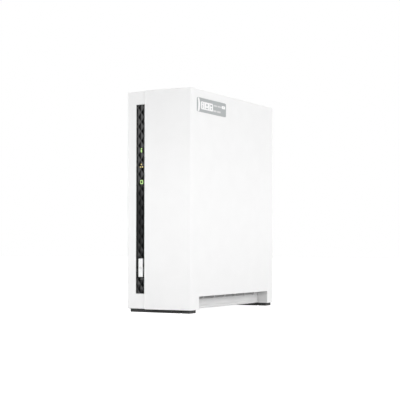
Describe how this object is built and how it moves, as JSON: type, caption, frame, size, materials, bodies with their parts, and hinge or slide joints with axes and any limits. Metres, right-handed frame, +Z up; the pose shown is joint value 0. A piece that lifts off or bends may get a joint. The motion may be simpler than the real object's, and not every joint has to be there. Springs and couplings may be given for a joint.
{
  "type": "network attached storage",
  "caption": "Slim white tower network storage box: plastic shells with a dark faceted strip, power button, indicators, rear fan and ports, and an upright hard drive on a lift-out carrier.",
  "frame": {"origin": "on the table, under the middle of the object's box", "axes": "+Z up, +X to the right as seen from the front, the front faces -Y"},
  "size_m": [0.0636, 0.1564, 0.1887],
  "materials": {
    "white_plastic": "satin white moulded plastic with a very fine texture",
    "dark_gloss_plastic": "dark glossy faceted trim",
    "green_light_guide": "lit green light guide",
    "amber_light_guide": "lit amber light guide",
    "rubber_feet": "dull dark grey",
    "label_film": "grey printed film",
    "circuit_board": "green solder resist",
    "black_package": "moulded chip package and sockets",
    "black_plastic": "satin black",
    "cable_jacket": "black jacket",
    "ribbon_film": "pale film",
    "zinc_steel": "zinc plated sheet and screws",
    "cast_alloy": "sand blasted casting",
    "platter_mirror": "mirror polished disc"
  },
  "bodies": {
    "housing": {"base_shell": "white_plastic", "rear_panel": "white_plastic", "trim_strip": "dark_gloss_plastic", "status_lens": "green_light_guide", "network_lens": "amber_light_guide", "drive_lens": "green_light_guide", "front_foot": "rubber_feet", "rear_foot": "rubber_feet", "main_board": "circuit_board", "processor": "black_package", "heat_sink": "cast_alloy", "memory_chip": "black_package", "coin_cell": "zinc_steel", "fan_header": "black_package", "ribbon_header": "black_package", "front_header": "black_package", "network_jack": "zinc_steel", "usb_socket_1": "zinc_steel", "usb_socket_2": "zinc_steel", "power_inlet": "black_package", "reset_switch": "black_package", "front_board": "circuit_board", "status_lamps": "ribbon_film", "power_switch": "black_package", "lock_plate": "zinc_steel", "fan_frame": "black_plastic", "fan_cable": "cable_jacket", "fan_screw_1": "zinc_steel", "fan_screw_2": "zinc_steel", "fan_screw_3": "zinc_steel", "fan_screw_4": "zinc_steel", "drive_cage": "zinc_steel", "sata_board_frame": "black_package", "sata_board": "circuit_board", "sata_socket": "black_package", "sata_ribbon": "ribbon_film"},
    "cover": {"side_cover": "white_plastic", "side_label": "label_film", "cover_front_foot": "rubber_feet", "cover_rear_foot": "rubber_feet", "cover_screw_1": "zinc_steel", "cover_screw_2": "zinc_steel"},
    "power_button": {"power_button": "white_plastic"},
    "reset_button": {"reset_button": "black_package"},
    "fan": {"fan_rotor": "black_plastic"},
    "drive_carrier": {"drive_tray": "zinc_steel", "tray_front_screw_1": "zinc_steel", "tray_front_screw_2": "zinc_steel", "tray_rear_screw_1": "zinc_steel", "tray_rear_screw_2": "zinc_steel", "drive_body": "cast_alloy", "drive_lid": "zinc_steel", "drive_board": "circuit_board", "sata_plug": "black_package", "drive_label": "ribbon_film", "magnet_yoke": "zinc_steel", "arm_pivot_pin": "zinc_steel"},
    "drive_spindle": {"spindle_hub": "zinc_steel", "platter": "platter_mirror"},
    "drive_arm": {"head_arm": "cast_alloy"}
  },
  "joints": [
    {"name": "power_button_press", "type": "slide", "parent": "housing", "child": "power_button", "axis": [0, 1, 0], "range_m": [0, 0.0007], "stiffness_N_per_m": 400},
    {"name": "reset_button_press", "type": "slide", "parent": "housing", "child": "reset_button", "axis": [0, -1, 0], "range_m": [0, 0.0005], "stiffness_N_per_m": 400},
    {"name": "fan_spin", "type": "hinge", "parent": "housing", "child": "fan", "pos_m": [-0.0036, 0.0686, 0.152], "axis": [0, 1, 0], "continuous": true},
    {"name": "side_cover_slide", "type": "slide", "parent": "housing", "child": "cover", "axis": [1, 0, 0], "range_m": [0, 0.06]},
    {"name": "drive_carrier_slide", "type": "slide", "parent": "housing", "child": "drive_carrier", "axis": [0, 0, 1], "range_m": [0, 0.008]},
    {"name": "drive_spindle_spin", "type": "hinge", "parent": "drive_carrier", "child": "drive_spindle", "pos_m": [0.0097, -0.014, 0.1225], "axis": [1, 0, 0], "continuous": true},
    {"name": "drive_arm_swing", "type": "hinge", "parent": "drive_carrier", "child": "drive_arm", "pos_m": [0.01, 0.006, 0.058], "axis": [-1, 0, 0], "range_deg": [0, 32]}
  ]
}
